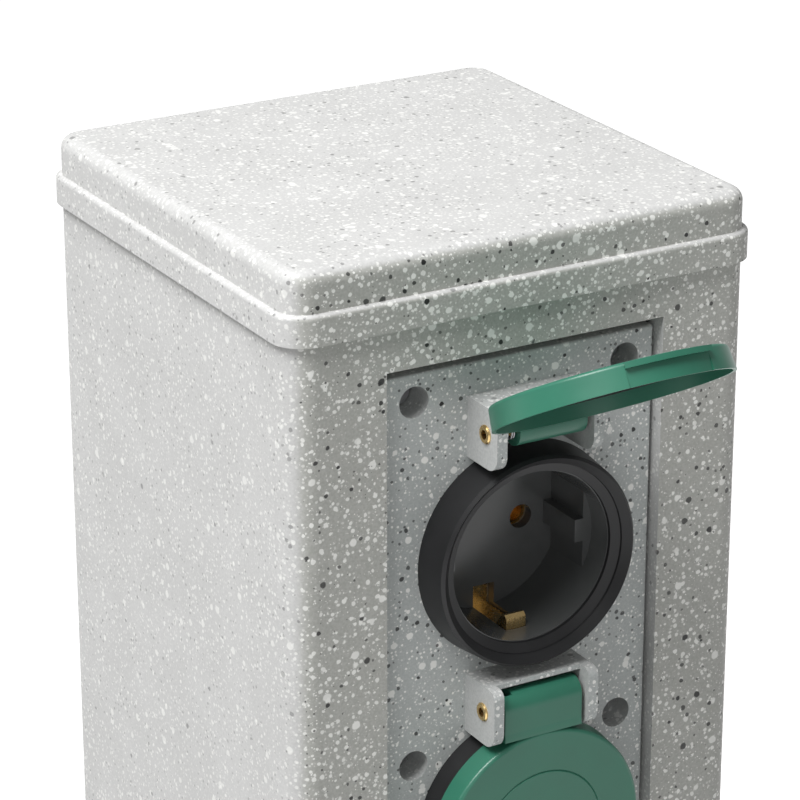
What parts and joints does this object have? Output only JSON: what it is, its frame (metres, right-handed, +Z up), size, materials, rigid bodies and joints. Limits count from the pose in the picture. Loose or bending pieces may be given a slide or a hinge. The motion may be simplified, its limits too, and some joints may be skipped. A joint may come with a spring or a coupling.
{
  "type": "garden socket post",
  "caption": "Square stone-look outdoor power post with a shoebox cap and a recessed front panel holding round earthed sockets under hinged green lids.",
  "frame": {"origin": "centre of the ground plate's underside, on the ground", "axes": "+X to the viewer's right when facing the sockets, +Y towards the back, +Z up; the front faces -Y"},
  "size_m": [0.1198, 0.1722, 0.4],
  "materials": {
    "stone_shell": "speckled stone look, fine satin",
    "panel_shell": "speckled stone look, slightly cooler",
    "lid_green": "bottle green, glossy",
    "ring_black": "matt black",
    "cup_grey": "dark grey, glossy",
    "base_cream": "moulded, matt",
    "brass": "bright",
    "copper": "bare copper",
    "screw_steel": "zinc plated",
    "spring_steel": "dark spring wire",
    "plate_steel": "galvanised",
    "rubber_black": "soft, matt",
    "block_white": "moulded, matt",
    "carrier_grey": "moulded, matt",
    "wire_brown": "insulation",
    "wire_blue": "insulation",
    "wire_green": "insulation"
  },
  "bodies": {
    "post": {"post_column": "stone_shell", "cap": "stone_shell", "cap_seal": "rubber_black", "cap_screws": "screw_steel", "front_panel": "panel_shell", "panel_seal": "rubber_black", "panel_screws": "screw_steel", "ground_plate": "plate_steel", "side_brackets": "plate_steel", "ground_plate_screws": "screw_steel", "cable_grommet": "rubber_black", "terminal_carrier": "carrier_grey", "carrier_screws": "screw_steel", "terminal_block": "block_white", "terminal_clamps": "brass", "block_screws": "screw_steel", "cable_clamp": "carrier_grey", "cable_clamp_screws": "screw_steel", "wire_cores": "copper", "wire_line": "wire_brown", "wire_neutral": "wire_blue", "wire_earth": "wire_green", "socket_ring_upper": "ring_black", "socket_cup_upper": "cup_grey", "socket_base_upper": "base_cream", "contact_line_upper": "brass", "contact_neutral_upper": "brass", "earth_clip_upper": "brass", "socket_screws_upper": "screw_steel", "terminal_screws_upper": "screw_steel", "hinge_pin_upper": "brass", "torsion_spring_upper": "spring_steel", "socket_ring_lower": "ring_black", "socket_cup_lower": "cup_grey", "socket_base_lower": "base_cream", "contact_line_lower": "brass", "contact_neutral_lower": "brass", "earth_clip_lower": "brass", "socket_screws_lower": "screw_steel", "terminal_screws_lower": "screw_steel", "hinge_pin_lower": "brass", "torsion_spring_lower": "spring_steel"},
    "upper_lid": {"lid_upper": "lid_green", "lid_seal_upper": "rubber_black"},
    "lower_lid": {"lid_lower": "lid_green", "lid_seal_lower": "rubber_black"}
  },
  "joints": [
    {"name": "upper_lid_hinge", "type": "hinge", "parent": "post", "child": "upper_lid", "pos_m": [0, -0.0624, 0.3584], "axis": [-1, 0, 0], "range_deg": [-120, 0], "stiffness_Nm_per_rad": 0.008, "springref_deg": -134.65, "deforming": ["torsion_spring_upper"]},
    {"name": "lower_lid_hinge", "type": "hinge", "parent": "post", "child": "lower_lid", "pos_m": [0, -0.0624, 0.2929], "axis": [-1, 0, 0], "range_deg": [0, 120], "stiffness_Nm_per_rad": 0.008, "springref_deg": -14.9, "deforming": ["torsion_spring_lower"]}
  ]
}
